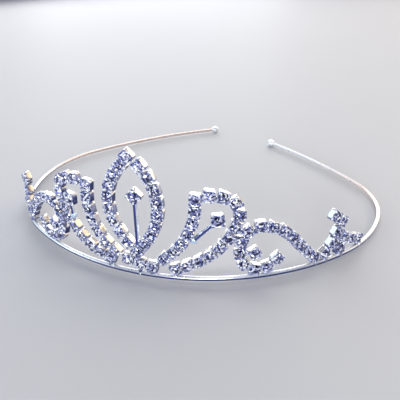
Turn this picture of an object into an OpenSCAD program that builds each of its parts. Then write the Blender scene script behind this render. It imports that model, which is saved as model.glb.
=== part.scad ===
// Tiara: claw-set chains of round stones soldered to a sprung wire headband.
// The headband lies flat, the front faces -Y and +Z is up. Left and right are as seen from the front.
// A place on the front is [along, up]: along follows the headband from the middle of the front, negative
// to the left, and up is the height above the middle of the wire.

/* [Headband] */
// Diameter of the headband wire
wire_d = 1.3; // [1:0.1:1.5]
// Diameter of the ball on each end of the wire
ball_d = 3.2; // [2.8:0.1:4]
// Radius of the front arc, right of the middle
right_front_r = 70; // [68:1:72]
// Radius of the front arc, left of the middle
left_front_r = 76; // [74:1:78]
// Turn of the left arm, from the side bend to its ball, in degrees
left_arm_turn = 21; // [18:1:24]
// Turn of the right arm, from the side bend to its ball, in degrees
right_arm_turn = 14; // [11:1:16]
// Inward lean of the left spray, in degrees
left_lean = 6; // [3:0.5:9]
// Inward lean of the right spray, in degrees
right_lean = 4; // [2:0.5:7]
// Turn of the left spray's cups towards the front, in degrees
left_spray_yaw = 20; // [10:1:22]

/* [Cups] */
// Width of a chain cup
cup_w = 3.2; // [3:0.1:3.3]
// Width of the larger cups inside the leaf and the petals
heart_cup_w = 3.5; // [3.3:0.1:3.7]
// Depth of a cup, from its back to the tips of its claws
cup_h = 2.2; // [2.1:0.1:2.5]
// Distance between neighbouring cups of a chain
pitch = 3.5; // [3.45:0.05:3.6]
// Diameter of the stems that carry the larger cups
stem_d = 1.3; // [1:0.1:1.4]

/* [Stones] */
// Gap between a stone and its cup
stone_gap = 0.08; // [0.05:0.01:0.12]
// Wall of a cup beside its stone
cup_wall = 0.17; // [0.15:0.01:0.25]
// Height of a stone above its girdle
crown_h = 0.45; // [0.3:0.05:0.5]
// Depth of a stone below its girdle
pavilion_h = 1.15; // [0.9:0.05:1.2]

/* [Hidden] */
$fn = 48;

silver = "#cfd3de";
crystal = "#dfe6f7";

// Arcs of each half of the wire, from the middle of the front to the ball: [radius, degrees]
right_arcs = [[right_front_r, 48], [39, 37], [26.5, 48], [190, right_arm_turn]];
left_arcs = [[left_front_r, 31], [44, 50], [35.5, 49], [156, left_arm_turn]];

// A chain is [place of its first cup, heading of its first step, runs, turn of its first cup], and a run
// is [steps, bend at each step]. Angles are in degrees, and along is measured outwards on both halves
right_leaf_chain = [[-0.5, 6.7], 52, [[1, 3], [2, 10], [5, 12]], 45];
left_leaf_chain = [[0.6, 6.8], 47, [[2, 8], [4, 14], [2, 10]], 45];
right_petal_inner_chain = [[6.6, 5.5], 41, [[5, 9]], 41];
left_petal_inner_chain = [[7.5, 5.4], 42, [[2, 12], [3, 11]], 45];
right_petal_outer_chain = [[9.8, 2.5], 22, [[2, 6], [3, 9], [1, 11], [1, 36], [1, 40], [1, 24]], 22];
left_petal_outer_chain = [[9.3, 2.4], 21, [[1, 4], [5, 10], [1, 30], [1, 40], [1, 26]], 22];
right_scroll_chain = [
  [48, 2.3], 135, [[2, -3], [1, 6], [2, 16], [1, 32], [1, 42], [2, 23], [1, 41], [2, 35]], 150
];
left_scroll_chain = [
  [47.9, 2.3], 127, [[2, 3], [1, 8], [2, 15], [1, 28], [1, 42], [3, 31], [1, 26], [1, 40]], 150
];

// Single cups: [along, up, turn]
leaf_tip = [-0.4, 34.2, 45];
base_row = [[-3.6, 3.7, -12], [-0.2, 2.9, -6], [3.3, 2.4, -4]];
spray_row = [
  [64.4, 2.3, -20], [61.2, 3.6, -27], [58.1, 5.3, -36],
  [55.5, 7.7, -36], [56.9, 10.9, -36], [54.2, 13.1, -38]
];
spray_leg_row = [[51.5, 2.2, 28], [54, 4.7, 50]];
spray_foot = [56.8, 2.1, 0];
leaf_heart = [0.4, 23.7, 45];
right_petal_heart = [21.1, 17.7, 4];
left_petal_heart = [-21.4, 18.1, -4];
right_scroll_eye = [30.6, 7.2, 30];
left_scroll_eye = [-31.6, 6.8, -30];

// Places where the stems of the larger cups end
leaf_stem_end = [-0.3, 8.9];
right_petal_stem_end = [14.9, 11.8];
left_petal_stem_end = [-21, 13];

wire_r = wire_d / 2;
ball_r = ball_d / 2;
// How far the wire reaches into its ball, and the gap round it there
ball_bore_l = 2;
ball_gap = 0.05;
claw_h = 0.3;
rim_h = cup_h - claw_h;
floor_t = 0.3;
// Depth of the notches between the claws, below the rim
notch_h = 0.2;
// The backs of the cups stand this far behind the middle of the wire
cup_back = 1.5;
girdle_t = 0.12;
// Height of the girdle's upper edge in the cup, just under the claws
girdle_top = rim_h - 0.18;
// The claws leave an opening this far from the middle, as a part of the stone's radius
claw_reach = 0.89;
table_share = 0.58;
link_d = 0.9;
// Depth of the links and the stems behind the middle of the wire
link_back = 0.6;
// Turn of each cup about its own upright, at the depth of its links
$yaw = 0;
// A link ends inside the wall of its cup, this far from the middle of the cup
link_inset = 1.5;
post_d = 1.2;
sleeve_d = 1.4;
sleeve_l = 1.2;
dot_d = 1.6;
dot_h = 1.4;

function stone_d(w) = w - 2 * (cup_wall + stone_gap);

// Turn, centre and length of the arcs before arc i of a half
function turn_before(arcs, i) = i == 0 ? 0 : turn_before(arcs, i - 1) + arcs[i - 1][1];
function length_before(arcs, i) =
  i == 0 ? 0 : length_before(arcs, i - 1) + arcs[i - 1][0] * arcs[i - 1][1] * PI / 180;
function arc_centre(arcs, i) =
  i == 0
    ? [0, arcs[0][0]]
    : arc_centre(arcs, i - 1)
      + (arcs[i][0] - arcs[i - 1][0]) * [-sin(turn_before(arcs, i)), cos(turn_before(arcs, i))];
function arc_at(arcs, along, i = 0) =
  i == len(arcs) - 1 || along <= length_before(arcs, i + 1) ? i : arc_at(arcs, along, i + 1);

// Heading of the wire and its place, at a distance along a half
function wire_turn(arcs, along) =
  let (i = arc_at(arcs, along))
  turn_before(arcs, i) + (along - length_before(arcs, i)) / arcs[i][0] * 180 / PI;
function wire_place(arcs, along) =
  let (i = arc_at(arcs, along), a = wire_turn(arcs, along))
  arc_centre(arcs, i) + arcs[i][0] * [sin(a), -cos(a)];
function half_length(arcs) = length_before(arcs, len(arcs));
function ball_place(arcs) = wire_place(arcs, half_length(arcs) - ball_bore_l + ball_r);

// The sides of the wire are widest on the third arc, and the left ball lies furthest back
right_reach = arc_centre(right_arcs, 2)[0] + right_arcs[2][0] + wire_r;
left_reach = arc_centre(left_arcs, 2)[0] + left_arcs[2][0] + wire_r;
front_reach = cup_h - cup_back;
back_reach = ball_place(left_arcs)[1] + ball_r;
// The origin is under the middle of the whole tiara, at the bottom of its balls
origin = [(right_reach - left_reach) / 2, (back_reach - front_reach) / 2, -ball_r];

function arcs_of(along) = along < 0 ? left_arcs : right_arcs;
function side_of(along) = along < 0 ? -1 : 1;
function lean_at(along) = -(along < 0 ? left_lean : right_lean) * abs(along) / spray_row[0][0];

// A place on the front as a point, out in front of the middle of the wire
function point_at(place, out) =
  let (
    arcs = arcs_of(place[0]),
    along = abs(place[0]),
    p = wire_place(arcs, along),
    a = wire_turn(arcs, along),
    lean = lean_at(place[0]),
    forward = place[1] * sin(lean) + out * cos(lean)
  )
  [
    side_of(place[0]) * (p[0] + forward * sin(a)) - origin[0],
    p[1] - forward * cos(a) - origin[1],
    place[1] * cos(lean) - out * sin(lean) - origin[2]
  ];

// The cups of a chain, each as [along, up, turn]: a cup is turned halfway between its two steps
function bends(chain) = [for (r = chain[2]) for (i = [1:r[0]]) r[1]];
function heading(chain, k) = k == 0 ? chain[1] : heading(chain, k - 1) + bends(chain)[k - 1];
function place(chain, k) =
  k == 0
    ? chain[0]
    : place(chain, k - 1) + pitch * [cos(heading(chain, k - 1)), sin(heading(chain, k - 1))];
function cups(chain) =
  let (last = len(bends(chain)) + 1)
  [for (k = [0:last])
    let (before = heading(chain, max(k - 1, 0)), after = heading(chain, min(k, last - 1)))
    [each place(chain, k), k == 0 ? chain[3] : (before + after) / 2]];

// A row of cups on one side, from its cup first to its cup last
function side_row(row, side, first = 0, last = undef) =
  [for (k = [first:(is_undef(last) ? len(row) - 1 : last)])
    [side * row[k][0], row[k][1], side * row[k][2]]];

leaf_last = len(bends(right_leaf_chain));
right_leaf_row = side_row(cups(right_leaf_chain), 1, 0, leaf_last);
left_leaf_row = side_row(cups(left_leaf_chain), -1, 0, leaf_last);
leaf_cups = concat([leaf_tip], right_leaf_row, side_row(left_leaf_row, 1, 1), base_row);

function petal_inner_row(side) =
  side_row(cups(side < 0 ? left_petal_inner_chain : right_petal_inner_chain), side);
function petal_outer_row(side) =
  side_row(cups(side < 0 ? left_petal_outer_chain : right_petal_outer_chain), side);
function scroll_row(side) =
  side_row(cups(side < 0 ? left_scroll_chain : right_scroll_chain), side);
function scroll_eye(side) = side < 0 ? left_scroll_eye : right_scroll_eye;
function spray_cups(side) = side_row(concat(spray_row, spray_leg_row, [spray_foot]), side);
function spray_yaw(side) = side < 0 ? left_spray_yaw : 0;

// Stands its children on the front, facing outwards, at [along, up, turn]
module on_front(at) {
  arcs = arcs_of(at[0]);
  along = abs(at[0]);
  p = wire_place(arcs, along);
  side = side_of(at[0]);
  translate([side * p[0], p[1], 0] - origin)
    rotate([0, 0, side * wire_turn(arcs, along)])
      rotate([lean_at(at[0]), 0, 0])
        translate([0, link_back, at[1]])
          rotate([0, 0, $yaw])
            translate([0, cup_back - link_back, 0])
              rotate([90, 0, 0])
                rotate([0, 0, at[2]])
                  children();
}

module rod(from, to, d) {
  run = to - from;
  translate(from)
    rotate([0, acos(run[2] / norm(run)), atan2(run[1], run[0])])
      cylinder(d = d, h = norm(run));
}

// Rod between two places on the front, clear of the cups' seats at the given ends
module front_rod(from, to, d, inset_from, inset_to) {
  run = [to[0] - from[0], to[1] - from[1]];
  step = run / norm(run);
  rod(
    point_at([from[0], from[1]] + inset_from * step, -link_back),
    point_at([to[0], to[1]] - inset_to * step, -link_back),
    d
  );
}

module link(from, to) {
  front_rod(from, to, link_d, link_inset, link_inset);
}

// Square cup with a round seat, open between four corner claws
module cup(w = cup_w) {
  opening = claw_reach * stone_d(w);
  difference() {
    translate([-w / 2, -w / 2, 0]) cube([w, w, cup_h]);
    translate([0, 0, floor_t]) cylinder(d = stone_d(w) + 2 * stone_gap, h = rim_h - floor_t);
    rotate([0, 0, 45])
      translate([-opening / 2, -opening / 2, rim_h - notch_h]) cube([opening, opening, claw_h + 1]);
  }
}

// Round cut stone in the same frame as its cup: eight table corners, sixteen crown facets, a thin
// girdle and eight pavilion facets
module stone(w = cup_w) {
  r = stone_d(w) / 2;
  table_r = table_share * r;
  table = [for (i = [0:7]) [table_r * cos(45 * i), table_r * sin(45 * i), girdle_top + crown_h]];
  upper = [for (i = [0:7]) [r * cos(45 * i + 22.5), r * sin(45 * i + 22.5), girdle_top]];
  lower = [for (p = upper) [p[0], p[1], girdle_top - girdle_t]];
  culet = [[0, 0, girdle_top - girdle_t - pavilion_h]];
  polyhedron(
    points = concat(table, upper, lower, culet),
    faces = concat(
      [[7, 6, 5, 4, 3, 2, 1, 0]],
      [for (i = [0:7]) [i, (i + 1) % 8, 8 + i]],
      [for (i = [0:7]) [8 + i, (i + 1) % 8, 8 + (i + 1) % 8]],
      [for (i = [0:7]) [8 + i, 8 + (i + 1) % 8, 16 + (i + 1) % 8, 16 + i]],
      [for (i = [0:7]) [16 + i, 16 + (i + 1) % 8, 24]]
    )
  );
}

module cups_on(row) {
  for (at = row) on_front(at) cup();
}

module stones_on(row) {
  color(crystal)
    for (at = row) on_front(at) stone();
}

module links_along(row) {
  for (k = [1:len(row) - 1]) link(row[k - 1], row[k]);
}

// Solder post between the wire and a cup that stands on it
module post(along, up) {
  rod(point_at([along, 0], 0), point_at([along, up], 0), post_d);
}

// Dot of solder at the end of a stem
module dot(place) {
  on_front([place[0], place[1], 0])
    translate([0, 0, cup_back - link_back - dot_h / 2]) cylinder(d = dot_d, h = dot_h);
}

// Short sleeve over a joint of the wire, along the given turn
module sleeve(turn) {
  rotate([0, 90, turn]) cylinder(d = sleeve_d, h = sleeve_l, center = true);
}

// The arcs end a little short of each other, inside a sleeve
module wire_half(arcs) {
  short = 0.15;
  for (i = [0:len(arcs) - 1]) {
    before = short / arcs[i][0] * 180 / PI;
    after = i == len(arcs) - 1 ? 0 : before;
    translate([each arc_centre(arcs, i), 0])
      rotate([0, 0, turn_before(arcs, i) + before - 90])
        rotate_extrude(angle = arcs[i][1] - before - after)
          translate([arcs[i][0], 0]) circle(d = wire_d);
  }
  for (i = [1:len(arcs) - 1])
    translate([each wire_place(arcs, length_before(arcs, i)), 0]) sleeve(turn_before(arcs, i));
}

module headband() {
  translate(-origin) {
    wire_half(right_arcs);
    mirror([1, 0, 0]) wire_half(left_arcs);
    sleeve(0);
  }
}

module leaf_metal() {
  cups_on(leaf_cups);
  links_along(right_leaf_row);
  links_along(left_leaf_row);
  link(right_leaf_row[leaf_last], leaf_tip);
  link(left_leaf_row[leaf_last], leaf_tip);
  links_along(base_row);
  link(base_row[1], right_leaf_row[0]);
  on_front(leaf_heart) cup(heart_cup_w);
  front_rod(leaf_heart, leaf_stem_end, stem_d, 2, 0);
}

module petal_metal(side) {
  inner = petal_inner_row(side);
  outer = petal_outer_row(side);
  cups_on(inner);
  cups_on(outer);
  links_along(inner);
  links_along(outer);
  link(inner[len(inner) - 1], outer[len(outer) - 1]);
  heart = side < 0 ? left_petal_heart : right_petal_heart;
  stem_end = side < 0 ? left_petal_stem_end : right_petal_stem_end;
  on_front(heart) cup(heart_cup_w);
  front_rod(heart, stem_end, stem_d, 1.7, 0);
  dot(stem_end);
}

module scroll_metal(side) {
  row = scroll_row(side);
  eye = scroll_eye(side);
  cups_on(row);
  links_along(row);
  on_front(eye) cup();
  link(row[9], eye);
}

module spray_metal(side) {
  $yaw = spray_yaw(side);
  row = side_row(spray_row, side);
  leg = side_row(spray_leg_row, side);
  foot = side_row([spray_foot], side)[0];
  cups_on(spray_cups(side));
  links_along(row);
  links_along(leg);
  link(leg[1], row[3]);
  link(foot, row[2]);
}

module tiara_frame() {
  color(silver) {
    headband();
    leaf_metal();
    post(base_row[1][0], 1.3);
    post(base_row[2][0], 0.9);
    for (side = [-1, 1]) {
      petal_metal(side);
      scroll_metal(side);
      spray_metal(side);
      link(base_row[1 + side], petal_inner_row(side)[0]);
      link(petal_outer_row(side)[6], scroll_row(side)[7]);
      for (foot = [petal_outer_row(side)[0], scroll_row(side)[0], side_row(spray_row, side)[0],
                   side_row(spray_leg_row, side)[0], side_row([spray_foot], side)[0]])
        post(foot[0], 0.6);
    }
  }
}

module ball_tip(arcs) {
  centre = ball_place(arcs);
  color(silver)
    translate([centre[0], centre[1], 0])
      difference() {
        sphere(d = ball_d);
        rotate([0, -90, wire_turn(arcs, half_length(arcs))])
          translate([0, 0, ball_r - ball_bore_l - ball_gap])
            cylinder(d = wire_d + 2 * ball_gap, h = ball_d);
      }
}

module left_ball_tip() {
  translate(-origin) mirror([1, 0, 0]) ball_tip(left_arcs);
}

module right_ball_tip() {
  translate(-origin) ball_tip(right_arcs);
}

module leaf_stones() {
  stones_on(leaf_cups);
}

module leaf_heart_stone() {
  color(crystal) on_front(leaf_heart) stone(heart_cup_w);
}

module left_petal_stones() {
  stones_on(concat(petal_inner_row(-1), petal_outer_row(-1)));
}

module right_petal_stones() {
  stones_on(concat(petal_inner_row(1), petal_outer_row(1)));
}

module left_petal_heart_stone() {
  color(crystal) on_front(left_petal_heart) stone(heart_cup_w);
}

module right_petal_heart_stone() {
  color(crystal) on_front(right_petal_heart) stone(heart_cup_w);
}

module left_scroll_stones() {
  stones_on(scroll_row(-1));
}

module right_scroll_stones() {
  stones_on(scroll_row(1));
}

module left_scroll_eye_stone() {
  stones_on([left_scroll_eye]);
}

module right_scroll_eye_stone() {
  stones_on([right_scroll_eye]);
}

module left_spray_stones() {
  $yaw = spray_yaw(-1);
  stones_on(spray_cups(-1));
}

module right_spray_stones() {
  $yaw = spray_yaw(1);
  stones_on(spray_cups(1));
}

tiara_frame();
left_ball_tip();
right_ball_tip();
leaf_stones();
leaf_heart_stone();
left_petal_stones();
left_petal_heart_stone();
right_petal_stones();
right_petal_heart_stone();
left_scroll_stones();
left_scroll_eye_stone();
right_scroll_stones();
right_scroll_eye_stone();
left_spray_stones();
right_spray_stones();
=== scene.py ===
import math

import bpy
import numpy as np
from mathutils import Matrix, Vector


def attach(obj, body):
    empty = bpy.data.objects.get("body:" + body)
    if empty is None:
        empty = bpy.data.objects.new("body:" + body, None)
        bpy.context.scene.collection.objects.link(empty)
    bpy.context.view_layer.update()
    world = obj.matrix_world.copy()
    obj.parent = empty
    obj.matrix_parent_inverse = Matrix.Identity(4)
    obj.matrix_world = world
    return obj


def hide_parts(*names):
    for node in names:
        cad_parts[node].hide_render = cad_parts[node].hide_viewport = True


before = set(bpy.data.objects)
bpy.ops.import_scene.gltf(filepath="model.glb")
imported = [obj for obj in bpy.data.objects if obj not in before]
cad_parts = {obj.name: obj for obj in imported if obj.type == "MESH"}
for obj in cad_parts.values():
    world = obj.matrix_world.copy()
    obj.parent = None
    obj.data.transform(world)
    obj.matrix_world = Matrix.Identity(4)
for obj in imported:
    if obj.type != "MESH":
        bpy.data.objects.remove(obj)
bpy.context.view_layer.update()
mm = 0.001
print("frame loaded")


# Wire and places on the front. A place is (along, up): along follows the wire from the middle of
# the front, negative to the left, and up is the height above the middle of the wire. A cup is a
# place and its turn in degrees. All lengths are in millimetres where no note says metres

wireForm = {
    "diameter": 1.3,
    # Arcs of each half from the middle of the front: radius, degrees
    "rightArcs": ((70, 48), (39, 37), (26.5, 48), (190, 14)),
    "leftArcs": ((76, 31), (44, 50), (35.5, 49), (156, 21)),
    "sides": 20,
    "step": 0.8,  # between the rings of the tube
}

frontForm = {
    "leftLean": 6,  # degrees
    "rightLean": 4,
    "leanAlong": 64.4,  # where the lean is full
    "cupBack": 1.5,  # the backs of the cups stand this far behind the middle of the wire
    "linkBack": 0.6,  # and the links this far
}

ballForm = {
    "diameter": 3.2,
    "wireIn": 2.0,  # how deep the wire ends in the ball
    "neckDiameter": 1.9,
    "neckTaper": 0.05,
    "neckLength": 0.25,
    "roundTo": 0.97,  # share of the half turn where the last ring is closed by a fan
    "rings": 18,
    "columns": 28,
}


# Start of each arc of a half. The turn and the length are running sums, and each centre is the
# last one moved along the normal by the change of radius
def arcTable(arcs):
    radius, sweep = np.array(arcs, float).T
    turn = np.concatenate([[0], np.cumsum(sweep)])
    length = np.concatenate([[0], np.cumsum(radius * np.radians(sweep))])
    normal = np.stack([-np.sin(np.radians(turn[1:-1])), np.cos(np.radians(turn[1:-1]))], 1)
    steps = np.diff(radius)[:, None] * normal
    centre = np.cumsum(np.concatenate([[[0, radius[0]]], steps]), 0)
    return radius, turn, length, centre


# Point and turn of a half at distances along it: the arc's centre plus its radius times
# (sin turn, -cos turn)
def alongHalf(arcs, along):
    radius, turn, length, centre = arcTable(arcs)
    i = np.clip(np.searchsorted(length, along) - 1, 0, len(radius) - 1)
    angle = turn[i] + np.degrees((along - length[i]) / radius[i])
    outward = np.stack([np.sin(np.radians(angle)), -np.cos(np.radians(angle))], 1)
    return centre[i] + radius[i][:, None] * outward, angle


def halfLength(arcs):
    return arcTable(arcs)[2][-1]


# Middle of the whole tiara: halfway between the widest points of the halves, and between the
# front of the cups and the left ball. The widest point of a half is on its third arc
def partOrigin():
    reach = []
    for arcs in (wireForm["rightArcs"], wireForm["leftArcs"]):
        radius, turn, length, centre = arcTable(arcs)
        reach.append(centre[2][0] + radius[2] + wireForm["diameter"] / 2)
    left = wireForm["leftArcs"]
    ballAt = halfLength(left) - ballForm["wireIn"] + ballForm["diameter"] / 2
    back = alongHalf(left, np.array([ballAt]))[0][0][1] + ballForm["diameter"] / 2
    front = cupForm["depth"] - frontForm["cupBack"]
    return np.array([(reach[0] - reach[1]) / 2, (back - front) / 2, -ballForm["diameter"] / 2])


# Wire point, and the across, inward and upward axes of the leaning front there
def frontAxes(along):
    along = np.asarray(along, float)
    right = alongHalf(wireForm["rightArcs"], np.abs(along))
    left = alongHalf(wireForm["leftArcs"], np.abs(along))
    onLeft = along < 0
    spot = np.where(onLeft[:, None], left[0] * [-1, 1], right[0])
    turn = np.radians(np.where(onLeft, -left[1], right[1]))
    fullLean = np.where(onLeft, frontForm["leftLean"], frontForm["rightLean"])
    lean = np.radians(-fullLean * np.abs(along) / frontForm["leanAlong"])
    flat = np.zeros_like(turn)
    across = np.stack([np.cos(turn), np.sin(turn), flat], 1)
    back = np.stack([-np.sin(turn), np.cos(turn), flat], 1)
    rise = np.array([0, 0, 1.0])
    inward = back * np.cos(lean)[:, None] + rise * np.sin(lean)[:, None]
    upward = rise * np.cos(lean)[:, None] - back * np.sin(lean)[:, None]
    wire = np.column_stack([spot, flat]) - origin
    return wire, across, inward, upward


# Points at places on the front, out in front of the middle of the wire
def frontPoints(places, out):
    places = np.asarray(places, float)
    wire, across, inward, upward = frontAxes(places[:, 0])
    return wire - np.asarray(out, float).reshape(-1, 1) * inward + places[:, 1:2] * upward


# Frames of cups that face outwards: x and y turned by the cup's own turn, and z out of the front.
# A yaw turns the across and inward axes about the upright at the depth of the links
def cupFrames(cups, yaw=0):
    cups = np.asarray(cups, float)
    wire, across, inward, upward = frontAxes(cups[:, 0])
    links = wire + frontForm["linkBack"] * inward + cups[:, 1:2] * upward
    c, s = math.cos(math.radians(yaw)), math.sin(math.radians(yaw))
    across, inward = c * across + s * inward, c * inward - s * across
    turn = np.radians(cups[:, 2])[:, None]
    x = np.cos(turn) * across + np.sin(turn) * upward
    y = -np.sin(turn) * across + np.cos(turn) * upward
    corner = links + (frontForm["cupBack"] - frontForm["linkBack"]) * inward
    return corner, np.stack([x, y, -inward], 2)


# Cups of a bent chain: headings are running sums of the bends, places are running sums of one
# pitch along each heading, and a cup is turned halfway between its two headings
def chainCups(first, heading, runs, firstTurn, side=1):
    bends = np.repeat([bend for steps, bend in runs], [steps for steps, bend in runs])
    headings = heading + np.concatenate([[0], np.cumsum(bends)])
    way = np.stack([np.cos(np.radians(headings)), np.sin(np.radians(headings))], 1)
    steps = np.cumsum(chainForm["pitch"] * way, 0)
    places = np.array(first) + np.concatenate([[[0, 0]], steps])
    turns = np.concatenate([[firstTurn], (headings[:-1] + headings[1:]) / 2, headings[-1:]])
    return np.column_stack([places, turns]) * [side, 1, side]


# Meshes as arrays: a shape is its points, its quads and its triangles


# Quads between the rows of a grid whose columns close into a ring
def gridQuads(rows, columns):
    r = np.arange(rows - 1)[:, None] * columns
    c = np.arange(columns)[None, :]
    n = (c + 1) % columns
    return np.stack([r + c, r + n, r + columns + n, r + columns + c], -1).reshape(-1, 4)


# Skin over a stack of rings, each end closed by a fan round the middle of its ring
def skin(rings):
    rows, columns, _ = rings.shape
    points = np.concatenate([rings.reshape(-1, 3), rings[:1].mean(1), rings[-1:].mean(1)])
    k = np.arange(columns)
    n = (k + 1) % columns
    last = (rows - 1) * columns
    startFan = np.stack([np.full(columns, last + columns), n, k], 1)
    endFan = np.stack([np.full(columns, last + columns + 1), last + k, last + n], 1)
    return points, gridQuads(rows, columns), np.concatenate([startFan, endFan])


# Surface of revolution about z: each profile pair (radius, height) becomes a ring
def turned(profile, columns):
    radius, height = np.array(profile, float).T
    a = np.linspace(0, 2 * np.pi, columns, endpoint=False)
    ring = np.stack([np.cos(a), np.sin(a), np.zeros(columns)], 1)
    return skin(radius[:, None, None] * ring + height[:, None, None] * np.array([0, 0, 1]))


# Copies of a shape, one in each frame: the frame's corner plus its axes times the point
def stamp(shape, frames):
    points, quads, tris = shape
    corners, axes = frames
    placed = np.einsum("nij,pj->npi", axes, points) + corners[:, None]
    shift = np.arange(len(corners))[:, None, None] * len(points)
    return placed.reshape(-1, 3), (quads + shift).reshape(-1, 4), (tris + shift).reshape(-1, 3)


# One shape from several: their points in a row, and their faces moved up by the points before
def joined(*shapes):
    starts = np.cumsum([0] + [len(shape[0]) for shape in shapes[:-1]])
    points = np.concatenate([shape[0] for shape in shapes])
    quads = np.concatenate([shape[1] + start for shape, start in zip(shapes, starts)])
    tris = np.concatenate([shape[2] + start for shape, start in zip(shapes, starts)])
    return points, quads, tris


# Frames that carry a shape of unit length and unit radius from each start to each end
def rodFrames(starts, ends, radius):
    run = ends - starts
    length = np.linalg.norm(run, axis=1, keepdims=True)
    z = run / length
    aside = np.where(np.abs(z[:, 2:]) > 0.9, [[1.0, 0, 0]], [[0, 0, 1.0]])
    x = np.cross(aside, z)
    x /= np.linalg.norm(x, axis=1, keepdims=True)
    y = np.cross(z, x)
    return starts, np.stack([x * radius, y * radius, run], 2)


# Tube of a round profile along a flat path: point plus radius times (cos along the path's
# normal, sin along the height)
def tube(path, heading, radius, sides):
    a = np.linspace(0, 2 * np.pi, sides, endpoint=False)
    normal = np.stack([np.sin(heading), -np.cos(heading), np.zeros_like(heading)], 1)
    rise = np.array([0, 0, 1.0])
    ring = np.cos(a)[None, :, None] * normal[:, None] + np.sin(a)[None, :, None] * rise
    return skin(path[:, None] + radius * ring)


sharpFrom = 40  # degrees between two faces, from which their edge stays sharp


def makePiece(name, shape, finish, node, flat=False, marks=()):
    points, quads, tris = shape
    mesh = bpy.data.meshes.new(name)
    mesh.from_pydata((points * mm).tolist(), [], quads.tolist() + tris.tolist())
    mesh.polygons.foreach_set("use_smooth", np.full(len(mesh.polygons), not flat))
    for markName, kind, domain, values in marks:
        mark = mesh.attributes.new(markName, kind, domain)
        mark.data.foreach_set("vector" if kind == "FLOAT_VECTOR" else "value", values.ravel())
    mesh.update()
    if not flat:
        mesh.set_sharp_from_angle(angle=math.radians(sharpFrom))
    mesh.materials.append(finish)
    piece = bpy.data.objects.new(name, mesh)
    bpy.context.scene.collection.objects.link(piece)
    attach(piece, "root")
    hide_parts(node)
    print("made", name, len(points), "points")


# Shader maths. A Signal is a socket's value, and arithmetic on it adds Math nodes


class Signal:
    def __init__(self, finish, socket):
        self.finish = finish
        self.socket = socket

    def maths(self, operation, a, b):
        return self.finish.node("ShaderNodeMath", {"operation": operation}, {0: a, 1: b})

    def __add__(self, other):
        return self.maths("ADD", self, other)

    def __sub__(self, other):
        return self.maths("SUBTRACT", self, other)

    def __rsub__(self, other):
        return self.maths("SUBTRACT", other, self)

    def __mul__(self, other):
        return self.maths("MULTIPLY", self, other)

    def __truediv__(self, other):
        return self.maths("DIVIDE", self, other)

    def __rtruediv__(self, other):
        return self.maths("DIVIDE", other, self)

    __radd__ = __add__
    __rmul__ = __mul__

    def clamped(self):
        return self.maths("MINIMUM", self.maths("MAXIMUM", self, 0.0), 1.0)


class Finish:
    def __init__(self, name, constants=None):
        self.material = bpy.data.materials.new(name)
        self.material.use_nodes = True
        self.tree = self.material.node_tree
        self.shader = self.tree.nodes["Principled BSDF"]
        for socketName, value in (constants or {}).items():
            self.shader.inputs[socketName].default_value = value

    # Adds a node: its settings first, then its sockets, and gives one output
    def node(self, kind, settings=None, sockets=None, output=0):
        node = self.tree.nodes.new(kind)
        for key, value in (settings or {}).items():
            if key == "stops":
                fillRamp(node.color_ramp, value)
            elif key == "interpolation":
                node.color_ramp.interpolation = value
            else:
                setattr(node, key, value)
        for key, value in (sockets or {}).items():
            if isinstance(value, Signal):
                self.tree.links.new(value.socket, node.inputs[key])
            else:
                node.inputs[key].default_value = value
        return Signal(self, node.outputs[output])

    def place(self):
        return self.node("ShaderNodeTexCoord", output="Object")

    def normal(self):
        return self.node("ShaderNodeNewGeometry", output="Normal")

    def mark(self, name, output="Fac"):
        return self.node("ShaderNodeAttribute", {"attribute_name": name}, output=output)

    def noise(self, vector, scale, detail):
        sockets = {"Vector": vector, "Scale": scale, "Detail": detail}
        return self.node("ShaderNodeTexNoise", sockets=sockets)

    def vector(self, operation, sockets):
        return self.node("ShaderNodeVectorMath", {"operation": operation}, sockets)

    def mixColour(self, factor, a, b):
        sockets = {0: factor, 6: a, 7: b}
        return self.node("ShaderNodeMix", {"data_type": "RGBA"}, sockets, output=2)

    def ramp(self, value, stops, interpolation="LINEAR"):
        settings = {"stops": stops, "interpolation": interpolation}
        return self.node("ShaderNodeValToRGB", settings, {0: value})

    def part(self, vector, output):
        return self.node("ShaderNodeSeparateXYZ", sockets={0: vector}, output=output)

    def feed(self, socketName, signal):
        self.tree.links.new(signal.socket, self.shader.inputs[socketName])

    # Roughness that wanders round its middle by half a spread to each side
    def roughen(self, signal, middle, spread):
        self.feed("Roughness", signal * spread + (middle - spread / 2))

    # The distance is in metres
    def bump(self, height, strength, distance):
        sockets = {"Strength": strength, "Distance": distance, "Height": height}
        self.feed("Normal", self.node("ShaderNodeBump", sockets=sockets))


def fillRamp(ramp, stops):
    while len(ramp.elements) < len(stops):
        ramp.elements.new(0.5)
    for element, (position, colour) in zip(ramp.elements, stops):
        element.position = position
        element.color = (*colour, 1)


plateLook = {
    # Painted light by the normal: a white highlight above, warm light on the upper right, cool
    # light at the sides, and navy painted shade and dark reflection below
    "bright": (1, 0.99, 0.97, 1),
    "warm": (1, 0.86, 0.68, 1),
    "cool": (0.55, 0.63, 0.92, 1),
    "shade": (0.035, 0.045, 0.16, 1),
    # painted glints and shade on the rims and claws, from navy to white
    "rimGlintStops": (
        (0.0, (0.015, 0.02, 0.09)),
        (0.4, (0.1, 0.12, 0.31)),
        (0.5, (0.36, 0.4, 0.64)),
        (0.59, (0.95, 0.97, 1.0)),
    ),
    "brightSlope": 1.8,  # how fast a surface takes the painted highlight as it looks up
    "brightGrain": 0.5,  # how much the unevenness shifts that
    "shadeLevel": 0.75,  # painted shade of an upright surface, and how fast it grows as it looks down
    "shadeSlope": 2.2,
    "shadeGrain": 0.8,
    "warmFrom": 0.25,  # how far a surface has to look right before it takes the painted warm light
    "warmSlope": 2.5,
    "backPale": 0.55,  # how pale the backs of the cups are, which also spares them the painted shade
    "grain": 900,  # scale of the unevenness, per metre
    "rimGlintScale": 1500,
    "rimMetallic": 0.45,
    "wallMetallic": 0.8,
    "roughness": 0.2,
    "roughnessSpread": 0.16,
    "bumpStrength": 0.25,
    "bumpDistance": 0.00012,
}
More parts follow.
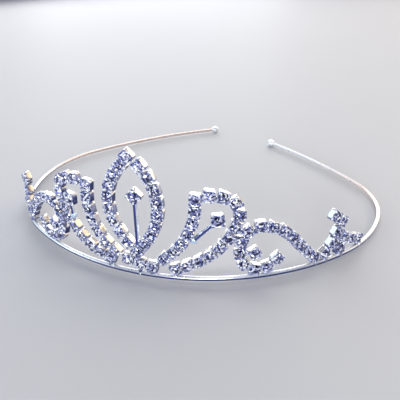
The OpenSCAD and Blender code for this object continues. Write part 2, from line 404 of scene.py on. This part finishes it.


# Polished plate with light painted in by its normal: a painted highlight white above, painted
# warm light on the upper right, painted cool light at the sides and navy painted shade and dark
# reflection below, and paler on the backs of the cups, which keep little of that painted shade.
# The rims and claws take painted glints and shade from a ramp over fine noise. Roughness is a
# base plus fine noise, and the bump is a soft unevenness
def plateFinish(name, look):
    finish = Finish(name)
    place, normal = finish.place(), finish.normal()
    height, right = finish.part(normal, "Z"), finish.part(normal, "X")
    uneven = finish.noise(place, look["grain"], 3)
    rim, back = finish.mark("rim"), finish.mark("back")
    # painted highlight where the surface looks up
    upper = (height * look["brightSlope"] + (uneven - 0.5) * look["brightGrain"]).clamped()
    # painted shade and dark reflection where the surface looks down
    lower = look["shadeLevel"] - height * look["shadeSlope"]
    lower = (lower + (uneven - 0.5) * look["shadeGrain"]).clamped()
    # painted warm light where the surface looks right
    paintedWarmth = ((right - look["warmFrom"]) * look["warmSlope"]).clamped()
    top = finish.mixColour(paintedWarmth, look["bright"], look["warm"])
    colour = finish.mixColour(upper, look["cool"], top)
    pale = back * look["backPale"]
    colour = finish.mixColour(pale, colour, look["bright"])
    walls = finish.mixColour(lower * (1 - pale), colour, look["shade"])
    # painted glints and shade on the rims and claws
    paintedGlints = finish.ramp(finish.noise(place, look["rimGlintScale"], 1), look["rimGlintStops"])
    finish.feed("Base Color", finish.mixColour(rim, walls, paintedGlints))
    drop = look["wallMetallic"] - look["rimMetallic"]
    finish.feed("Metallic", look["wallMetallic"] - rim * drop)
    fine = finish.noise(place, look["grain"] * 2, 2)
    finish.roughen(fine, look["roughness"], look["roughnessSpread"])
    finish.bump(uneven, look["bumpStrength"], look["bumpDistance"])
    return finish.material


wireLook = {
    # white front, painted warm light towards the back, and navy painted shade underneath
    "front": (0.97, 0.98, 1, 1),
    "back": (0.9, 0.74, 0.66, 1),
    "below": (0.02, 0.04, 0.2, 1),
    "backFrom": -0.03,  # metres behind the middle, where the painted warm light on the wire begins
    "backOver": 0.04,  # and over what length it does
    "endFrom": 0.005,  # metres behind the middle, where the painted warm light on the right end begins to give way to white again
    "endSlope": 40,  # how fast it does, per metre
    "endWhite": 0.85,  # and how far
    "belowLevel": 1.6,  # painted shade below: this less the slope times how far a surface looks up
    "belowSlope": 2.4,
    "belowLost": 0.85,  # how much of it is gone at the back
    "scratches": 1500,
    "metallic": 0.65,
    "roughness": 0.3,
    "roughnessSpread": 0.2,
    "bumpStrength": 0.15,
    "bumpDistance": 0.0001,
}

ballLook = {**wireLook, "back": (0.97, 0.98, 1, 1), "roughness": 0.2}

solderLook = {
    **wireLook,
    "front": (0.86, 0.97, 1, 1),
    "back": (0.86, 0.97, 1, 1),
    # lighter painted shade underneath
    "below": (0.5, 0.66, 0.88, 1),
    "metallic": 0.4,
}


# Drawn wire: white at the front and along its right end, painted warm light elsewhere towards the
# back, by its place, and navy painted shade underneath, by its normal. Fine scratches are noise,
# in the roughness and the bump
def wireFinish(name, look):
    finish = Finish(name, {"Metallic": look["metallic"]})
    place, normal = finish.place(), finish.normal()
    right, back = finish.part(place, "X"), finish.part(place, "Y")
    # painted warm light towards the back, fading to white again along the right end
    past = ((back - look["endFrom"]) * look["endSlope"]).clamped()
    rightEnd = (right * look["endSlope"]).clamped() * past
    behind = ((back - look["backFrom"]) / look["backOver"]).clamped()
    paintedWarmth = behind * (1 - rightEnd * look["endWhite"])
    body = finish.mixColour(paintedWarmth, look["front"], look["back"])
    # navy painted shade underneath, less of it at the back
    underShade = look["belowLevel"] - finish.part(normal, "Z") * look["belowSlope"]
    underShade = underShade.clamped() * (1 - behind * look["belowLost"])
    finish.feed("Base Color", finish.mixColour(underShade, body, look["below"]))
    scratches = finish.noise(place, look["scratches"], 3)
    finish.roughen(scratches, look["roughness"], look["roughnessSpread"])
    finish.bump(scratches, look["bumpStrength"], look["bumpDistance"])
    return finish.material


stemLook = {
    # painted reflection: white at the edges, navy along the middle
    "edge": (0.93, 0.96, 1, 1),
    "middle": (0.05, 0.07, 0.28, 1),
    "middleFrom": 3.7,  # navy painted reflection in the middle: the slope times how far a surface looks forward, less this
    "middleSlope": 5,
    "grain": 1200,
    "metallic": 0.8,
    "roughness": 0.22,
    "roughnessSpread": 0.12,
}


# Polished stem with a painted reflection: navy along the middle of its front and white at its
# edges, by how far the normal looks forward
def stemFinish(name, look):
    finish = Finish(name, {"Metallic": look["metallic"]})
    forward = finish.part(finish.normal(), "Y") * -look["middleSlope"]
    forward = (forward - look["middleFrom"]).clamped()
    finish.feed("Base Color", finish.mixColour(forward, look["edge"], look["middle"]))
    grain = finish.noise(finish.place(), look["grain"], 2)
    finish.roughen(grain, look["roughness"], look["roughnessSpread"])
    return finish.material


stoneLook = {
    "cells": 2.3,  # painted reflections of facets per millimetre
    "cellShare": 0.7,  # how much of a tone is the cell's, and the rest is the facet's
    "tilt": 0.8,  # how far a cell tilts the normal
    "metallic": 0.35,
    # painted reflection tones, from black and navy shade to white glints
    "stops": (
        (0.0, (0.003, 0.004, 0.012)),
        (0.24, (0.015, 0.02, 0.08)),
        (0.38, (0.07, 0.085, 0.26)),
        (0.5, (0.2, 0.2, 0.41)),
        (0.61, (0.42, 0.46, 0.74)),
        (0.7, (1.0, 1.0, 1.0)),
    ),
    "roughness": 0.12,
    "specular": 0.2,
    "coat": 0.6,
    "coatRoughness": 0.03,
    "spread": 400,  # side of the field of cells that the stones take their spots from
    "seed": 11,
}


# Foiled crystal with painted reflections: cells stand for the facets of the pavilion as the crown
# shows them. Each cell has its own painted tone, from navy shade to a white glint, picked from
# the ramp by its random number and its facet's, and its own tilt of the normal, while the clear
# coat keeps the true facets
def stoneFinish(name, look):
    finish = Finish(name, {
        "Metallic": look["metallic"],
        "Roughness": look["roughness"],
        "Specular IOR Level": look["specular"],
        "Coat Weight": look["coat"],
        "Coat Roughness": look["coatRoughness"],
    })
    sockets = {"Vector": finish.mark("stoneSpot", "Vector"), "Scale": look["cells"]}
    cell = finish.node("ShaderNodeTexVoronoi", sockets=sockets, output="Color")
    share = look["cellShare"]
    # painted reflection tone of each cell and facet
    tone = finish.part(cell, "X") * share + finish.mark("facet") * (1 - share)
    finish.feed("Base Color", finish.ramp(tone, look["stops"], "CONSTANT"))
    lean = finish.vector("SUBTRACT", {0: cell, 1: (0.5, 0.5, 0.5)})
    lean = finish.vector("SCALE", {0: lean, "Scale": look["tilt"]})
    tilted = finish.vector("ADD", {0: finish.normal(), 1: lean})
    finish.feed("Normal", finish.vector("NORMALIZE", {0: tilted}))
    return finish.material


# Cups

cupForm = {
    "width": 3.2,
    "heartWidth": 3.5,
    "depth": 2.2,
    "squareness": 6,
    "rimFrom": 1.65,  # height where the rim starts
    "backBelow": 0.1,  # height where the back ends
    "clawFull": 5,  # degrees from the corner where the claw has its full height
    "clawEnd": 17,  # and where it ends
    "offsets": (-45, -27, -17, -12, -6, 0, 6, 12, 17, 27),  # columns, in degrees from a corner
    # Rows from the back to the seat: share of the outline, added radius and height, at the
    # middle of a side and at a corner
    "rows": (
        ((0.55, 0, 0), (0.55, 0, 0)),
        ((0.93, 0, 0), (0.93, 0, 0)),
        ((0.985, 0, 0.06), (0.985, 0, 0.06)),
        ((1, 0, 0.2), (1, 0, 0.2)),
        ((1, 0, 1.6), (1, 0, 1.72)),
        ((0.99, 0, 1.7), (0.93, 0, 1.98)),
        ((0.95, 0, 1.73), (0, 1.5, 2.14)),
        ((0.9, 0, 1.72), (0, 1.24, 2.2)),
        ((0, 1.41, 1.68), (0, 1.04, 2.16)),
        ((0, 1.385, 1.6), (0, 1.04, 2.06)),
        ((0, 1.37, 1.4), (0, 1.37, 1.74)),
        ((0, 1.37, 0.5), (0, 1.37, 0.5)),
        ((0, 1.1, 0.35), (0, 1.1, 0.35)),
    ),
}


# Claw cup: a superellipse outline swept up its wall and over its rim. Between the corners the rim
# is plain, and near a corner the rows lean in over the stone by a smooth step of the angle
def cupShape(width):
    offsets = np.array(cupForm["offsets"], float)
    angle = np.concatenate([45 + 90 * quarter + offsets for quarter in range(4)])
    a = np.radians(angle)
    n = cupForm["squareness"]
    outline = cupForm["width"] / 2 / (np.abs(np.cos(a)) ** n + np.abs(np.sin(a)) ** n) ** (1 / n)
    away = np.abs(np.tile(offsets, 4))
    ease = (cupForm["clawEnd"] - away) / (cupForm["clawEnd"] - cupForm["clawFull"])
    ease = np.clip(ease, 0, 1)
    ease = ease * ease * (3 - 2 * ease)
    rows = np.array(cupForm["rows"], float)
    side, corner = rows[:, 0, None, :], rows[:, 1, None, :]
    blended = side + (corner - side) * ease[None, :, None]
    radius = (blended[..., 0] * outline + blended[..., 1]) * width / cupForm["width"]
    return skin(np.stack([radius * np.cos(a), radius * np.sin(a), blended[..., 2]], -1))


# Where a setting is rim or claw, and where it is the back of a cup, for the plate's finish: 1
# above or below the walls of its stamped cups, and 0 on the walls and all that follows the cups
def cupMarks(pointCount, cupCount, heartCount):
    heights = [np.tile(cup[0][:, 2], cupCount), np.tile(heartCup[0][:, 2], heartCount)]
    height = np.concatenate(heights)
    marks = {"rim": height > cupForm["rimFrom"], "back": height < cupForm["backBelow"]}
    rest = (0, pointCount - len(height))
    return [
        (name, "FLOAT", "POINT", np.pad(values.astype(float), rest))
        for name, values in marks.items()
    ]


# Stones

stoneForm = {
    "gap": 0.08,  # to the cup's wall
    "wall": 0.17,
    "girdleTop": 1.72,  # height over the cup's back
    "girdle": 0.12,
    "crown": 0.45,
    "pavilion": 1.15,
    "table": 0.56,  # share of the radius
    "starRing": 0.8,
}


# Round brilliant: rings of points at multiples of 22.5 degrees joined into facets. The star
# ring's height keeps each kite flat: table height less the crown's slope times the ring's reach
# along the kite's middle. The points are the table's middle, 8 of the table, 8 of the star ring,
# 16 of each edge of the girdle and the lower point. Also gives each face's facet
def stoneShape(width):
    inset = stoneForm["wall"] + stoneForm["gap"]
    r = width / 2 - inset
    scale = r / (cupForm["width"] / 2 - inset)
    girdleTop = stoneForm["girdleTop"]
    girdleEnd = girdleTop - stoneForm["girdle"]
    crown = stoneForm["crown"] * scale
    tableTop = girdleTop + crown
    eighth = np.radians(np.arange(8) * 45.0)
    sixteenth = np.radians(np.arange(16) * 22.5)
    tableR, starR = stoneForm["table"] * r, stoneForm["starRing"] * r
    starTop = tableTop - crown / (r - tableR) * (starR * math.cos(math.pi / 8) - tableR)

    def ring(radius, angles, height):
        level = np.full(len(angles), height)
        return np.stack([radius * np.cos(angles), radius * np.sin(angles), level], 1)

    points = np.concatenate([
        [[0, 0, tableTop]],
        ring(tableR, eighth, tableTop),
        ring(starR, eighth + math.pi / 8, starTop),
        ring(r, sixteenth, girdleTop),
        ring(r, sixteenth, girdleEnd),
        [[0, 0, girdleEnd - stoneForm["pavilion"] * scale]],
    ])
    k = np.arange(8)
    j = np.arange(16)
    table, star, upper, lower = 1 + k, 9 + k, 17 + j, 33 + j
    nextTable, backStar = np.roll(table, -1), np.roll(star, 1)
    even, odd, nextEven = upper[0::2], upper[1::2], np.roll(upper[0::2], -1)
    groups = [
        (np.zeros(8, int), table, nextTable),
        (table, star, nextTable),
        (table, backStar, even),
        (table, even, star),
        (star, even, odd),
        (star, odd, nextEven),
        (lower, np.full(16, 49), np.roll(lower, -1)),
    ]
    tris = np.concatenate([np.stack(group, 1) for group in groups])
    quads = np.stack([upper, lower, np.roll(lower, -1), np.roll(upper, -1)], 1)
    triFacet = np.concatenate([k, 8 + k, 16 + k, 16 + k, 24 + k, 32 + k, 40 + j])
    return (points, quads, tris), np.concatenate([56 + j, triFacet])


# Chains, rods and solder

chainForm = {
    "pitch": 3.5,
    "linkDiameter": 0.9,
    "linkInset": 1.5,  # how far a link's ends are drawn in from the middles of its cups
    "linkProfile": ((1, 0), (0.86, 0.3), (0.8, 0.5), (0.86, 0.7), (1, 1)),
    "stemDiameter": 1.3,
    "stemInset": 1.7,
    "stemProfile": ((1, 0), (1, 0.02), (1, 0.98), (1, 1)),
    "postDiameter": 1.2,
    "postUp": 0.6,
    "postWaist": 0.85,  # share of the diameter at the middle, and what the ends have more
    "postFlare": 0.35,
    "dotDiameter": 1.9,
    "dotFlatness": 0.8,
}

# Places of the cups: a chain is the place of its first cup, its first heading, runs of
# (steps, bend) and the turn of its first cup. The left chains are written as seen in a mirror
leafForm = {
    "right": ((-0.5, 6.7), 52, ((1, 3), (2, 10), (5, 12)), 45),
    "left": ((0.6, 6.8), 47, ((2, 8), (4, 14), (2, 10)), 45),
    "tip": (-0.4, 34.2, 45),
    "base": ((-3.6, 3.7, -12), (-0.2, 2.9, -6), (3.3, 2.4, -4)),
    "basePosts": ((1, 1.3), (2, 0.9)),  # which cup of the base row, and the post's height
    "heart": (0.4, 23.7, 45),
    "stemEnd": (-0.3, 8.9),
}

petalForm = {
    "rightInner": ((6.6, 5.5), 41, ((5, 9),), 41),
    "leftInner": ((7.5, 5.4), 42, ((2, 12), (3, 11)), 45),
    "rightOuter": ((9.8, 2.5), 22, ((2, 6), (3, 9), (1, 11), (1, 36), (1, 40), (1, 24)), 22),
    "leftOuter": ((9.3, 2.4), 21, ((1, 4), (5, 10), (1, 30), (1, 40), (1, 26)), 22),
    "rightHeart": (21.1, 17.7, 4),
    "leftHeart": (-21.4, 18.1, -4),
    "rightStemEnd": (14.9, 11.8),
    "leftStemEnd": (-21, 13),
    "scrollCup": 6,  # which cup of the outer chain the scroll is soldered to
}

scrollForm = {
    "right": (
        (48, 2.3), 135,
        ((2, -3), (1, 6), (2, 16), (1, 32), (1, 42), (2, 23), (1, 41), (2, 35)), 150,
    ),
    "left": (
        (47.9, 2.3), 127,
        ((2, 3), (1, 8), (2, 15), (1, 28), (1, 42), (3, 31), (1, 26), (1, 40)), 150,
    ),
    "rightEye": (30.6, 7.2, 30),
    "leftEye": (-31.6, 6.8, -30),
    "petalCup": 7,  # which cup the petal is soldered to, and which one the eye
    "eyeCup": 9,
}

sprayForm = {
    "row": (
        (64.4, 2.3, -20),
        (61.2, 3.6, -27),
        (58.1, 5.3, -36),
        (55.5, 7.7, -36),
        (56.9, 10.9, -36),
        (54.2, 13.1, -38),
    ),
    "leg": ((51.5, 2.2, 28), (54, 4.7, 50)),
    "foot": (56.8, 2.1, 0),
    "leftYaw": 20,  # turn of the left cups towards the front
}

origin = partOrigin()


# Straight rods between places on the front at the depth of the links, drawn in a little at their
# ends
def frontRods(starts, ends, diameter, insetStart, insetEnd, profile, columns):
    starts, ends = np.array(starts, float)[:, :2], np.array(ends, float)[:, :2]
    step = ends - starts
    step /= np.linalg.norm(step, axis=1, keepdims=True)
    depth = np.full(len(starts), -frontForm["linkBack"])
    a = frontPoints(starts + insetStart * step, depth)
    b = frontPoints(ends - insetEnd * step, depth)
    return stamp(turned(profile, columns), rodFrames(a, b, diameter / 2))


def links(starts, ends):
    inset, profile = chainForm["linkInset"], chainForm["linkProfile"]
    return frontRods(starts, ends, chainForm["linkDiameter"], inset, inset, profile, 10)


def linksAlong(cups):
    return links(cups[:-1], cups[1:])


# Stem of a larger cup, from under the cup to its solder
def stem(heart, end):
    inset, profile = chainForm["stemInset"], chainForm["stemProfile"]
    return frontRods(heart, end, chainForm["stemDiameter"], inset, 0, profile, 16)


# Solder posts: a turned waist that flares at the wire and at the cup, by the square of the
# distance from its middle
def posts(alongs, up):
    alongs = np.atleast_1d(np.array(alongs, float))
    level = np.zeros(len(alongs))
    a = frontPoints(np.column_stack([alongs, level]), level)
    b = frontPoints(np.column_stack([alongs, level + up]), level)
    t = np.linspace(0, 1, 7)
    waist = chainForm["postWaist"] + chainForm["postFlare"] * (2 * t - 1) ** 2
    shape = turned(np.column_stack([waist, t]), 12)
    return stamp(shape, rodFrames(a, b, chainForm["postDiameter"] / 2))


# Solder dot: a round bead a little flattened towards the front
def dots(places):
    places = np.array(places, float)
    t = np.linspace(-math.pi / 2, math.pi / 2, 9)[1:-1]
    bead = turned(np.column_stack([np.cos(t), chainForm["dotFlatness"] * np.sin(t)]), 14)
    axes = cupFrames(np.column_stack([places, np.zeros(len(places))]))[1]
    middle = frontPoints(places, np.full(len(places), -frontForm["linkBack"]))
    return stamp(bead, (middle, axes * chainForm["dotDiameter"] / 2))


cup, heartCup = cupShape(cupForm["width"]), cupShape(cupForm["heartWidth"])
stone, heartStone = stoneShape(cupForm["width"]), stoneShape(cupForm["heartWidth"])
plate = plateFinish("rhodiumPlate", plateLook)
stemPolish = stemFinish("polishedStem", stemLook)
solder = wireFinish("solder", solderLook)
crystal = stoneFinish("foiledCrystal", stoneLook)
pick = np.random.default_rng(stoneLook["seed"])


# Setting of a motif: its cups, its larger cup if it has one, and the rods and posts that follow
def makeSetting(name, cups, rods, hearts=(), yaw=0):
    shapes = [stamp(cup, cupFrames(cups, yaw))]
    if len(hearts):
        shapes.append(stamp(heartCup, cupFrames(hearts)))
    metal = joined(*shapes, *rods)
    marks = cupMarks(len(metal[0]), len(cups), len(hearts))
    makePiece(name, metal, plate, "tiara_frame", marks=marks)


# Stones in their cups. Each has its own spot in the field of cells, and a painted reflection tone
# for each facet
def setStones(node, cut, cups, yaw=0):
    (points, quads, tris), facet = cut
    spot = points[None] + pick.uniform(0, stoneLook["spread"], (len(cups), 1, 3))
    tone = pick.random((len(cups), facet.max() + 1))[:, facet]
    tone = np.concatenate([tone[:, :len(quads)].ravel(), tone[:, len(quads):].ravel()])
    marks = [("stoneSpot", "FLOAT_VECTOR", "POINT", spot), ("facet", "FLOAT", "FACE", tone)]
    shape = stamp(cut[0], cupFrames(cups, yaw))
    makePiece(node + "_cut", shape, crystal, node, flat=True, marks=marks)


# Leaf: two chains that share their first cup and end at the tip, and the base row. The last place
# of each chain is the tip's, so it holds no cup of its own
def buildLeaf():
    right = chainCups(*leafForm["right"])[:-1]
    left = chainCups(*leafForm["left"], side=-1)[:-1]
    tip, base = np.array([leafForm["tip"]]), np.array(leafForm["base"], float)
    heart = np.array([leafForm["heart"]])
    cups = np.concatenate([tip, right, left[1:], base])
    rods = [
        linksAlong(right),
        linksAlong(left),
        links(np.concatenate([right[-1:], left[-1:]]), np.concatenate([tip, tip])),
        linksAlong(base),
        links(base[1:2], right[:1]),
    ]
    rods += [posts(base[at, 0], up) for at, up in leafForm["basePosts"]]
    makeSetting("leaf_setting", cups, rods, heart)
    shape = stem(heart, [leafForm["stemEnd"]])
    makePiece("leaf_stem", shape, stemPolish, "tiara_frame")
    setStones("leaf_stones", stone, cups)
    setStones("leaf_heart_stone", heartStone, heart)


# Petal: an inner chain that starts at the base row and an outer chain that starts at the wire.
# Gives the cup that the scroll is soldered to
def buildPetal(side, label):
    inner = chainCups(*petalForm[label + "Inner"], side=side)
    outer = chainCups(*petalForm[label + "Outer"], side=side)
    heart = np.array([petalForm[label + "Heart"]])
    stemEnd = [petalForm[label + "StemEnd"]]
    cups = np.concatenate([inner, outer])
    rods = [
        linksAlong(inner),
        linksAlong(outer),
        links(inner[-1:], outer[-1:]),
        links([leafForm["base"][1 + side]], inner[:1]),
        posts(outer[0, 0], chainForm["postUp"]),
    ]
    makeSetting(label + "_petal_setting", cups, rods, heart)
    shape = stem(heart, stemEnd)
    makePiece(label + "_petal_stem", shape, stemPolish, "tiara_frame")
    makePiece(label + "_petal_solder", dots(stemEnd), solder, "tiara_frame")
    setStones(label + "_petal_stones", stone, cups)
    setStones(label + "_petal_heart_stone", heartStone, heart)
    return outer[petalForm["scrollCup"]]


# Scroll: one chain that arches up from the wire and curls in, and its eye
def buildScroll(side, label, petalCup):
    row = chainCups(*scrollForm[label], side=side)
    eye = np.array([scrollForm[label + "Eye"]])
    rods = [
        linksAlong(row),
        links([row[scrollForm["eyeCup"]]], eye),
        links([petalCup], [row[scrollForm["petalCup"]]]),
        posts(row[0, 0], chainForm["postUp"]),
    ]
    makeSetting(label + "_scroll_setting", np.concatenate([row, eye]), rods)
    setStones(label + "_scroll_stones", stone, row)
    setStones(label + "_scroll_eye_stone", stone, eye)


# End spray: a row that slants up from the wire, a leg below it and a foot
def buildSpray(side, label):
    flip = np.array([side, 1, side])
    row = np.array(sprayForm["row"]) * flip
    leg = np.array(sprayForm["leg"]) * flip
    foot = np.array([sprayForm["foot"]]) * flip
    cups = np.concatenate([row, leg, foot])
    yaw = sprayForm["leftYaw"] if side < 0 else 0
    rods = [
        linksAlong(row),
        linksAlong(leg),
        links(leg[1:2], row[3:4]),
        links(foot, row[2:3]),
        posts([row[0, 0], leg[0, 0], foot[0, 0]], chainForm["postUp"]),
    ]
    makeSetting(label + "_spray_setting", cups, rods, yaw=yaw)
    setStones(label + "_spray_stones", stone, cups, yaw)


# Headband: one tube along both halves, from the left end to the right end
def buildHeadband():
    halves = []
    for arcs, side in ((wireForm["rightArcs"], 1), (wireForm["leftArcs"], -1)):
        length = halfLength(arcs)
        along = np.linspace(0, length, int(length / wireForm["step"]))
        spot, turn = alongHalf(arcs, along)
        path = np.column_stack([spot * [side, 1], np.zeros(len(along))]) - origin
        halves.append((path, np.radians(turn * side)))
    (rightPath, rightTurn), (leftPath, leftTurn) = halves
    path = np.concatenate([leftPath[::-1], rightPath[1:]])
    heading = np.concatenate([leftTurn[::-1], rightTurn[1:]])
    shape = tube(path, heading, wireForm["diameter"] / 2, wireForm["sides"])
    finish = wireFinish("drawnWire", wireLook)
    makePiece("headband_wire", shape, finish, "tiara_frame")


# Balls: a sphere's profile from a short neck to the far pole, turned about the wire's direction
def buildBalls():
    polish = wireFinish("polishedBall", ballLook)
    r, neckR = ballForm["diameter"] / 2, ballForm["neckDiameter"] / 2
    neck = math.asin(neckR / r)
    a = np.linspace(neck, math.pi * ballForm["roundTo"], ballForm["rings"])
    start = [neckR - ballForm["neckTaper"], -r * math.cos(neck) - ballForm["neckLength"]]
    profile = np.concatenate([[start], np.column_stack([r * np.sin(a), -r * np.cos(a)])])
    ball = turned(profile, ballForm["columns"])
    for side, label in ((1, "right"), (-1, "left")):
        arcs = wireForm[label + "Arcs"]
        at = np.array([halfLength(arcs) - ballForm["wireIn"] + r])
        spot, turn = alongHalf(arcs, at)
        centre = np.column_stack([spot * [side, 1], [0]]) - origin
        way = np.radians(turn)
        ahead = np.stack([np.cos(way) * side, np.sin(way), [0]], 1)
        shape = stamp(ball, rodFrames(centre, centre + ahead, 1))
        makePiece(label + "_ball", shape, polish, label + "_ball_tip")


buildLeaf()
for side, label in ((-1, "left"), (1, "right")):
    petalCup = buildPetal(side, label)
    buildScroll(side, label, petalCup)
    buildSpray(side, label)
buildHeadband()
buildBalls()
print("pieces made")


# Camera, floor and light

viewForm = {
    "lens": 38.7,
    "sensor": 36,
    "clipStart": 0.005,  # metres
    "azimuth": 18.2,
    "elevation": 30.5,
    "roll": -2,
    "distance": 163.8,
    "aside": -1.6,
    "above": -8.9,
    "frontDepth": 58,  # the middle of the front lies this far in front of where the view turns
}


# Camera on a sphere round the middle of the headband: its place is that middle plus the distance
# along the line of sight, moved a little aside and down, and the roll turns it about that line
def setCamera():
    az, el, roll = (math.radians(viewForm[key]) for key in ("azimuth", "elevation", "roll"))
    back = np.array([math.sin(az) * math.cos(el), -math.cos(az) * math.cos(el), math.sin(el)])
    right = np.array([math.cos(az), math.sin(az), 0])
    up = np.cross(back, right)
    rolledRight = right * math.cos(roll) + up * math.sin(roll)
    rolledUp = up * math.cos(roll) - right * math.sin(roll)
    spot = viewForm["aside"] * right + viewForm["above"] * up + viewForm["distance"] * back
    spot = spot + [0, viewForm["frontDepth"], 0] - origin
    data = bpy.data.cameras.new("camera")
    data.lens = viewForm["lens"]
    data.sensor_width = viewForm["sensor"]
    data.clip_start = viewForm["clipStart"]
    camera = bpy.data.objects.new("camera", data)
    matrix = np.eye(4)
    matrix[:3, :3] = np.stack([rolledRight, rolledUp, back], 1)
    matrix[:3, 3] = spot * mm
    camera.matrix_world = Matrix(matrix.tolist())
    bpy.context.scene.collection.objects.link(camera)
    bpy.context.scene.camera = camera


frontMiddle = (0, -0.03, 0.02)  # metres, where most of the lights aim

stageForm = {
    "floorHalf": 0.85,  # metres to each side and behind, and to the front
    "floorFront": 0.62,
    "floor": (0.54, 0.54, 0.555, 1),
    "floorDarkest": 0.97,  # share of the colour that soft patches fall to
    "floorGrain": 3,
    "floorRoughness": 0.6,
    "horizon": (0.4, 0.41, 0.44),
    "sky": (0.05, 0.06, 0.11),
    "horizonTo": 0.06,  # sine of the elevation where the horizon begins to fade into the sky
    "skyFrom": 0.4,  # and where it has faded
    # name: place and aim in metres, size in metres, watts, colour
    "lights": {
        "overheadSoft": ((0, 0.08, 0.6), (0, 0, 0), 0.5, 1.9, (1, 1, 1)),
        "backSoft": ((-0.28, 0.66, 0.3), frontMiddle, 0.5, 2.2, (0.93, 0.96, 1)),
        "backWarm": ((0.42, 0.6, 0.24), frontMiddle, 0.4, 1.5, (1, 0.9, 0.75)),
        "backCream": ((0.07, 0.68, 0.38), frontMiddle, 0.34, 0.8, (1, 0.96, 0.9)),
        "backLeft": ((-0.54, 0.44, 0.27), frontMiddle, 0.36, 0.8, (1, 0.97, 0.93)),
        "leftSoft": ((-0.62, -0.03, 0.34), (0, 0, 0.01), 0.45, 0.8, (0.7, 0.9, 1)),
        "rightWarm": ((0.55, 0.22, 0.42), (0, 0, 0.01), 0.5, 1.1, (1, 0.86, 0.68)),
        "leftFront": ((-0.6, -0.42, 0.14), (-0.03, 0, 0.015), 0.3, 1.3, (0.8, 0.92, 1)),
        "frontSoft": ((0.12, -0.62, 0.14), (0, -0.03, 0.015), 0.25, 3, (0.95, 0.97, 1)),
    },
}


# Plain floor that ends under the front lights. Soft noise darkens it a little in patches
def setFloor():
    half, front = stageForm["floorHalf"], stageForm["floorFront"]
    corners = [(-half, -front, 0), (half, -front, 0), (half, half, 0), (-half, half, 0)]
    mesh = bpy.data.meshes.new("floor")
    mesh.from_pydata(corners, [], [(0, 1, 2, 3)])
    floor = bpy.data.objects.new("floor", mesh)
    finish = Finish("paleFloor", {"Roughness": stageForm["floorRoughness"]})
    patches = finish.noise(finish.place(), stageForm["floorGrain"], 2)
    colour = stageForm["floor"]
    darker = (*(stageForm["floorDarkest"] * c for c in colour[:3]), 1)
    finish.feed("Base Color", finish.mixColour(patches, colour, darker))
    mesh.materials.append(finish.material)
    bpy.context.scene.collection.objects.link(floor)


# Studio round the floor: a pale horizon that fades into a dim sky by the height of the direction
def setWorld():
    world = bpy.data.worlds.new("studio")
    world.use_nodes = True
    nodes, wires = world.node_tree.nodes, world.node_tree.links
    direction = nodes.new("ShaderNodeTexCoord")
    split = nodes.new("ShaderNodeSeparateXYZ")
    fade = nodes.new("ShaderNodeValToRGB")
    stops = (
        (stageForm["horizonTo"], stageForm["horizon"]),
        (stageForm["skyFrom"], stageForm["sky"]),
    )
    fillRamp(fade.color_ramp, stops)
    wires.new(direction.outputs["Generated"], split.inputs[0])
    wires.new(split.outputs["Z"], fade.inputs[0])
    wires.new(fade.outputs["Color"], nodes["Background"].inputs["Color"])
    bpy.context.scene.world = world


# Softboxes. Those behind and beside the tiara stand where the plates of its cups mirror them
def setLights():
    for name, (place, aim, size, watts, colour) in stageForm["lights"].items():
        data = bpy.data.lights.new(name, "AREA")
        data.size = size
        data.energy = watts
        data.color = colour
        light = bpy.data.objects.new(name, data)
        light.visible_camera = False
        light.location = place
        aimed = (Vector(aim) - Vector(place)).to_track_quat("-Z", "Y")
        light.rotation_euler = aimed.to_euler()
        bpy.context.scene.collection.objects.link(light)


setCamera()
setFloor()
setWorld()
setLights()
bpy.context.scene.view_settings.view_transform = "Standard"
print("stage set")
